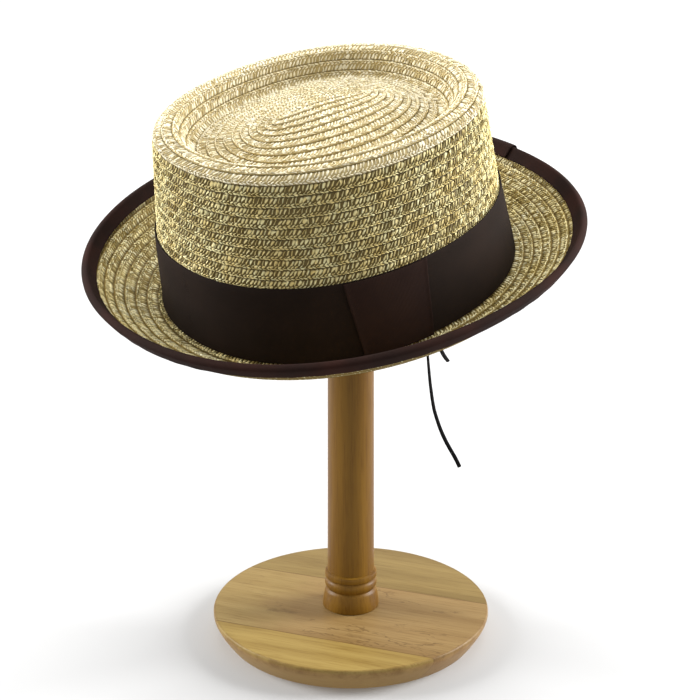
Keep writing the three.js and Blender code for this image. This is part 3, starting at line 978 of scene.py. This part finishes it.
class Finish:
    def __init__(self, name, roughness):
        self.material = bpy.data.materials.new(name)
        self.material.use_nodes = True
        self.tree = self.material.node_tree
        self.shader = self.tree.nodes["Principled BSDF"]
        self.set("Roughness", roughness)

    def put(self, value, socket):
        if isinstance(value, bpy.types.NodeSocket):
            self.tree.links.new(value, socket)
        else:
            socket.default_value = value

    def set(self, name, value):
        """Sets one of the main shader's own sockets."""
        self.put(value, self.shader.inputs[name])

    def node(self, kind, inputs=(), **settings):
        node = self.tree.nodes.new(kind)
        for key, value in settings.items():
            setattr(node, key, value)
        for key, value in dict(inputs).items():
            self.put(value, node.inputs[key])
        return node

    def place(self):
        return self.node("ShaderNodeTexCoord").outputs["Object"]

    def attribute(self, name, output="Fac"):
        return self.node("ShaderNodeAttribute", attribute_name=name).outputs[output]

    def mapped(self, place, scale=(1, 1, 1), rotation=(0, 0, 0), shift=(0, 0, 0)):
        return self.node("ShaderNodeMapping", {
            "Vector": place, "Location": shift, "Rotation": rotation, "Scale": scale}).outputs[0]

    def noise(self, place, scale, detail, roughness=0.5):
        return self.node("ShaderNodeTexNoise", {
            "Vector": place, "Scale": scale, "Detail": detail, "Roughness": roughness}).outputs[0]

    def maths(self, operation, *values):
        return self.node("ShaderNodeMath", dict(enumerate(values)), operation=operation).outputs[0]

    def part(self, vector, axis):
        return self.node("ShaderNodeSeparateXYZ", {0: vector}).outputs[axis]

    def length(self, vector):
        return self.node("ShaderNodeVectorMath", {0: vector}, operation="LENGTH").outputs["Value"]

    def step(self, value, low, high):
        limits = {"Value": value, "From Min": low, "From Max": high}
        return self.node("ShaderNodeMapRange", limits, interpolation_type="SMOOTHSTEP").outputs[0]

    def mix(self, share, first, second, blend="MIX"):
        node = self.node("ShaderNodeMix", data_type="RGBA", blend_type=blend)
        for value, number in ((share, 0), (first, 6), (second, 7)):
            self.put(value, node.inputs[number])
        return node.outputs[2]

    def bump(self, height, distance, strength):
        settings = {"Height": height, "Distance": distance, "Strength": strength}
        self.set("Normal", self.node("ShaderNodeBump", settings).outputs[0])

    def cover(self, *pieces):
        for piece in pieces:
            piece.data.materials.clear()
            piece.data.materials.append(self.material)
        print(self.material.name, "covers", ", ".join(piece.name for piece in pieces))


def tint(red, green, blue):
    """A colour as seen on a screen, 0 to 255, turned into the light that a shader works with."""
    values = [channel / 255 for channel in (red, green, blue)]
    return tuple(v / 12.92 if v <= 0.04045 else ((v + 0.055) / 1.055)**2.4 for v in values) + (1.0,)


# %% [markdown]
# ### Straw
# Paper straw is a twisted strip of paper, cream on its crests and olive brown deep in the gaps. The
# darkening from crest to gap is partly the core's own colour and partly painted shade. Every strand
# has its own tone, and larger patches vary too. Close to the row above, each row is darkened with
# painted shade, as if that row shaded it. Fine glossy specks catch the light here and there, where
# the metallic thread of the braid comes to the surface. The three copies of this finish differ by
# painted light and shade: the crown's top has the palest gaps, as if lit from above, the wall has
# the darkest gaps, as if in shade, and the brim is paler, as if lit, and the most golden.

# %% Straw braid
grain_scale, rare_grain, glint_crest = 1700, 0.985, 0.6
glint_colour = tint(255, 240, 190)


def straw(name, dark, pale, palest, painted_row_shade, painted_shade_start, painted_shade_end):
    finish = Finish(name, 0.7)
    spot = finish.place()
    crest = finish.attribute("crest")
    patch = finish.noise(spot, 60, 3)
    light = finish.mix(finish.attribute("tone"), pale, palest)
    light = finish.mix(finish.step(patch, 0.4, 0.8), light, pale)
    # From crest to gap the colour darkens: partly the core's own colour, partly painted shade.
    colour = finish.mix(finish.step(crest, -0.1, 0.85), dark, light)
    # Painted shade: close to the row above, the colour turns to a darker tint, as if that row shaded it.
    painted_shade_mask = finish.step(finish.attribute("across"), painted_shade_start, painted_shade_end)
    colour = finish.mix(painted_shade_mask, colour, painted_row_shade)
    grains = finish.node("ShaderNodeTexVoronoi", {"Vector": spot, "Scale": grain_scale})
    lucky = finish.maths("GREATER_THAN", finish.part(grains.outputs["Color"], 0), rare_grain)
    glint = finish.maths("MULTIPLY", lucky, finish.maths("GREATER_THAN", crest, glint_crest))
    finish.set("Base Color", finish.mix(glint, colour, glint_colour))
    finish.set("Metallic", glint)
    finish.bump(finish.noise(spot, 1500, 2), 0.0001, 0.6)
    return finish


# Painted light and shade: the top's copy has pale gaps as if lit from above, the wall's copy dark gaps
# as if in shade, the brim's copy is paler as if lit.
top_straw = straw("straw_top", tint(182, 162, 108), tint(234, 223, 185), tint(250, 244, 222),
                  tint(84, 72, 24), 0.5, 0.8)
top_straw.cover(braid_top)
side_straw = straw("straw_side", tint(90, 72, 16), tint(232, 207, 130), tint(255, 250, 196),
                   tint(62, 48, 10), 0.45, 0.75)
side_straw.cover(braid_side, braid_foot)
brim_straw = straw("straw_brim", tint(146, 122, 52), tint(252, 234, 164), tint(255, 252, 216),
                   tint(110, 90, 36), 0.1, 0.85)
brim_straw.cover(braid_brim)

# %% [markdown]
# ### Ribbon, sweatband and lace
# The ribbons are very dark brown and almost matt, with a fine rib across their width. The ribs follow
# the strip, so they are drawn on the numbers that each strip was laid by. The sweatband is a plainer
# weave, and the lace is black with a coarse one.

# %% Dark cloths
cloth_roughness, cloth_shine = 0.85, 0.1
rib_share, rib_depth = 0.35, 0.00012


def cloth(name, dark, light, ribs, sheen=0.0):
    finish = Finish(name, cloth_roughness)
    finish.set("Specular IOR Level", cloth_shine)
    finish.set("Sheen Weight", sheen)
    finish.set("Sheen Roughness", 0.4)
    along = finish.part(finish.attribute("along", "Vector"), 0)
    rib = finish.maths("SINE", finish.maths("MULTIPLY", along, ribs * 2 * math.pi))
    worn = finish.noise(finish.place(), 35, 4)
    finish.set("Base Color", finish.mix(finish.step(worn, 0.3, 0.75), dark, light))
    weave = finish.noise(finish.place(), 1800, 2)
    finish.bump(finish.maths("MULTIPLY_ADD", rib, rib_share, weave), rib_depth, 0.5)
    return finish


cloth("band_ribbon", tint(30, 21, 16), tint(37, 26, 20), ribs=900).cover(hatband)
cloth("tab_ribbon", tint(38, 24, 20), tint(46, 30, 24), ribs=60).cover(band_tab)
cloth("edge_ribbon", tint(34, 21, 17), tint(50, 27, 21), ribs=1400).cover(binding, lap)
cloth("sweat_cloth", tint(30, 24, 21), tint(44, 36, 31), ribs=500, sheen=0.05).cover(sweatband)

# %% Lace
lace = Finish("black_lace", 0.75)
lace.set("Specular IOR Level", cloth_shine)
lace_weave = lace.noise(lace.mapped(lace.place(), (1, 1, 0.5)), 1400, 2)
lace.set("Base Color", lace.mix(lace_weave, tint(9, 9, 9), tint(24, 23, 23)))
lace.bump(lace_weave, 0.0002, 0.8)
lace.cover(lace_long, lace_short)

# %% [markdown]
# ### Wood
# The stand is light brown wood under a satin varnish. `wood` draws what every piece of it has: broad
# bands and fine pores, both long drawn out along the grain. A position is turned to lie along the
# grain first and stretched after that, because the order matters. On the pole the grain runs upwards.

# %% Wood grain
pore_shade = (0.7, 0.62, 0.5, 1)
pore_depth, pore_bump = 0.0001, 0.3


def wood(finish, place, pale, brown):
    """The colour of grained wood, and its pores, where the grain runs along the place's first axis."""
    finish.set("Coat Weight", 0.04)
    finish.set("Coat Roughness", 0.3)
    finish.set("Specular IOR Level", 0.2)
    bands = finish.noise(finish.mapped(place, (4, 70, 70)), 1.0, 5, 0.6)
    pores = finish.noise(finish.mapped(place, (40, 900, 900)), 1.0, 3, 0.7)
    base = finish.mix(finish.step(bands, 0.3, 0.7), pale, brown)
    shade = finish.mix(finish.step(pores, 0.45, 0.8), (1, 1, 1, 1), pore_shade)
    return finish.mix(1.0, base, shade, "MULTIPLY"), pores


upright = Finish("pole_wood", 0.42)
up_grain = upright.mapped(upright.place(), rotation=(0, math.radians(90), 0))
pole_colour, pole_pores = wood(upright, up_grain, tint(131, 94, 27), tint(104, 70, 14))
upright.set("Base Color", pole_colour)
upright.bump(pole_pores, pore_depth, pore_bump)
upright.cover(stand_pole, stand_head)

# %% [markdown]
# ### Three boards
# The disc is glued up from three boards: a yellow one in front, a pinkish one in the middle and a
# plainer, darker one behind, with a thin dark line of glue between them. Each board takes its grain
# from another place in the log. `across_boards` tells which board a point lies on.

# %% Boards of the disc
board_turn = math.radians(-30)
front_joint, rear_joint, glue_width = -49 * mm, 27 * mm, 0.5 * mm

board = Finish("disc_wood", 0.45)
along_boards = board.mapped(board.place(), rotation=(0, 0, board_turn))
across_boards = board.part(along_boards, 1)


def board_colour(pale, brown, shift):
    place = board.mapped(along_boards, shift=(shift, shift, shift))
    return wood(board, place, pale, brown)


front_colour, board_pores = board_colour(tint(164, 139, 78), tint(146, 120, 62), 0.0)
middle_colour, _ = board_colour(tint(152, 125, 80), tint(132, 104, 62), 3.0)
clean_colour, _ = board_colour(tint(154, 131, 82), tint(138, 114, 66), 5.0)
rear_colour, _ = board_colour(tint(138, 116, 68), tint(118, 96, 52), 7.0)
print("the boards meet", front_joint, "and", rear_joint, "from the middle")

# %% [markdown]
# Use has worn the middle board, all but its left end, which has kept its clean colour. The worn part
# has soft bruises and thin dark nicks. A nick is drawn where a noise passes through one value, because
# that gives thin wandering lines.

# %% Wear of the middle board
wear_start, wear_end, wear_wander = -20 * mm, 25 * mm, 90 * mm
nick_level, nick_width = 0.52, 0.008
bruise_share, nick_share = 0.5, 0.55
wear_colour = tint(92, 66, 36)

patches = board.noise(board.place(), 22, 4, 0.6)
worn_place = board.maths("MULTIPLY_ADD", patches, wear_wander, board.part(along_boards, 0))
worn = board.step(worn_place, wear_start, wear_end)
middle_colour = board.mix(worn, clean_colour, middle_colour)
bruise = board.noise(board.mapped(along_boards, (38, 70, 70)), 1.0, 5, 0.65)
bruises = board.maths("MULTIPLY", board.step(bruise, 0.58, 0.72), bruise_share)
nick = board.noise(board.mapped(along_boards, (16, 60, 60), (0, 0, 0.5)), 1.0, 4, 0.6)
off_level = board.maths("ABSOLUTE", board.maths("SUBTRACT", nick, nick_level))
nicks = board.maths("LESS_THAN", off_level, nick_width)
nicks = board.maths("MULTIPLY", nicks, board.step(patches, 0.52, 0.6))
nicks = board.maths("MULTIPLY", nicks, nick_share)
middle_colour = board.mix(board.maths("MAXIMUM", bruises, nicks), middle_colour, wear_colour)
print("the middle board is worn from", wear_start, "to the right")

# %% [markdown]
# Now the boards are put side by side, with their lines of glue. The disc's side is sawn across the
# grain and looks pinker, and its upper edge is darker in patches.

# %% The whole disc
side_colour, side_share = tint(172, 134, 88), 0.55
dark_edge_colour, dark_edge_share = tint(112, 80, 44), 0.5
glue_colour, glue_share = tint(96, 68, 34), 0.7
side_top, side_full = disc_thickness - 1 * mm, disc_thickness - 3 * mm
edge_start, edge_full = disc_radius - 1.8 * mm, disc_radius - 0.5 * mm

past_front = board.maths("GREATER_THAN", across_boards, front_joint)
past_rear = board.maths("GREATER_THAN", across_boards, rear_joint)
colour = board.mix(past_front, front_colour, middle_colour)
colour = board.mix(past_rear, colour, rear_colour)
for joint in (front_joint, rear_joint):
    apart = board.maths("ABSOLUTE", board.maths("SUBTRACT", across_boards, joint))
    glue = board.maths("MULTIPLY", board.step(apart, glue_width, glue_width / 2), glue_share)
    colour = board.mix(glue, colour, glue_colour)
side = board.step(board.part(board.place(), 2), side_top, side_full)
colour = board.mix(board.maths("MULTIPLY", side, side_share), colour, side_colour)
# The upper edge is darkened in patches by a noise.
edge = board.step(board.length(board.mapped(board.place(), (1, 1, 0))), edge_start, edge_full)
dark_edge_patches = board.step(board.noise(board.place(), 90, 4, 0.7), 0.35, 0.65)
dark_edge_patches = board.maths("MULTIPLY", edge, board.maths("MULTIPLY", dark_edge_patches, dark_edge_share))
board.set("Base Color", board.mix(dark_edge_patches, colour, dark_edge_colour))
board.bump(board_pores, pore_depth, pore_bump)
board.cover(stand_disc)

# %% [markdown]
# ## Floor and light
# The hat stands in a plain white studio, on light grey paper that takes a soft shadow near the stand.
# Further out the paper glows, as overexposed paper does, and ends in white. Its light is kept off the
# pieces. The camera sees a white sky, but the sky lights the pieces with only a part of that.

# %% Floor
floor_size, paper_grey = 30, 0.5
glow_start, glow_end = 0.35, 2.2
least_glow, more_glow = 0.04, 0.75

floor = start(bpy.ops.mesh.primitive_plane_add, "floor", size=floor_size)
floor.visible_diffuse = False
paper = Finish("studio_paper", 0.9)
paper.set("Base Color", (paper_grey, paper_grey, paper_grey, 1))
far_out = paper.step(paper.length(paper.place()), glow_start, glow_end)
paper.set("Emission Strength", paper.maths("MULTIPLY_ADD", far_out, more_glow, least_glow))
paper.cover(floor)

# %% Sky
sky_light = 0.6

world = bpy.data.worlds.new("studio")
world.use_nodes = True
backdrop = world.node_tree.nodes["Background"]
backdrop.inputs["Color"].default_value = (1, 1, 1, 1)
seen = world.node_tree.nodes.new("ShaderNodeLightPath").outputs["Is Camera Ray"]
strength = world.node_tree.nodes.new("ShaderNodeMapRange")
strength.inputs["To Min"].default_value = sky_light
world.node_tree.links.new(seen, strength.inputs["Value"])
world.node_tree.links.new(strength.outputs[0], backdrop.inputs["Strength"])
bpy.context.scene.world = world
print("the sky gives", sky_light, "of its light")

# %% [markdown]
# A large lamp above lights the crown's top. Two lamps at the sides, a little behind the hat, light its
# edges, so the wall that faces the camera stays in soft shade. Each lamp is placed by how far it
# stands to the camera's right, behind the hat and above the floor, and is turned towards the hat.

# %% Lamps
lamp_target = Vector((0, 0, 0.2))
to_camera = Vector((math.sin(camera_turn), -math.cos(camera_turn), 0))
to_right = Vector((math.cos(camera_turn), math.sin(camera_turn), 0))
up = Vector((0, 0, 1))
lamp_table = [
    {"name": "top_lamp", "right": 0, "behind": 0.25, "up": 1.5, "size": (1.1, 1.1), "power": 15.5},
    {"name": "left_lamp", "right": -1.5, "behind": 0.3, "up": 0.8, "size": (0.8, 1.0), "power": 34},
    {"name": "right_lamp", "right": 1.5, "behind": 0.3, "up": 0.8, "size": (0.8, 1.0), "power": 46},
]

for row in lamp_table:
    light = bpy.data.lights.new(row["name"], "AREA")
    light.shape = "RECTANGLE"
    light.size, light.size_y = row["size"]
    light.energy = row["power"]
    holder = bpy.data.objects.new(row["name"], light)
    holder.location = row["right"] * to_right - row["behind"] * to_camera + row["up"] * up
    holder.rotation_euler = (lamp_target - holder.location).to_track_quat("-Z", "Y").to_euler()
    bpy.context.scene.collection.objects.link(holder)
    print(row["name"], row["power"], "W")
bpy.context.scene.view_settings.view_transform = "Standard"
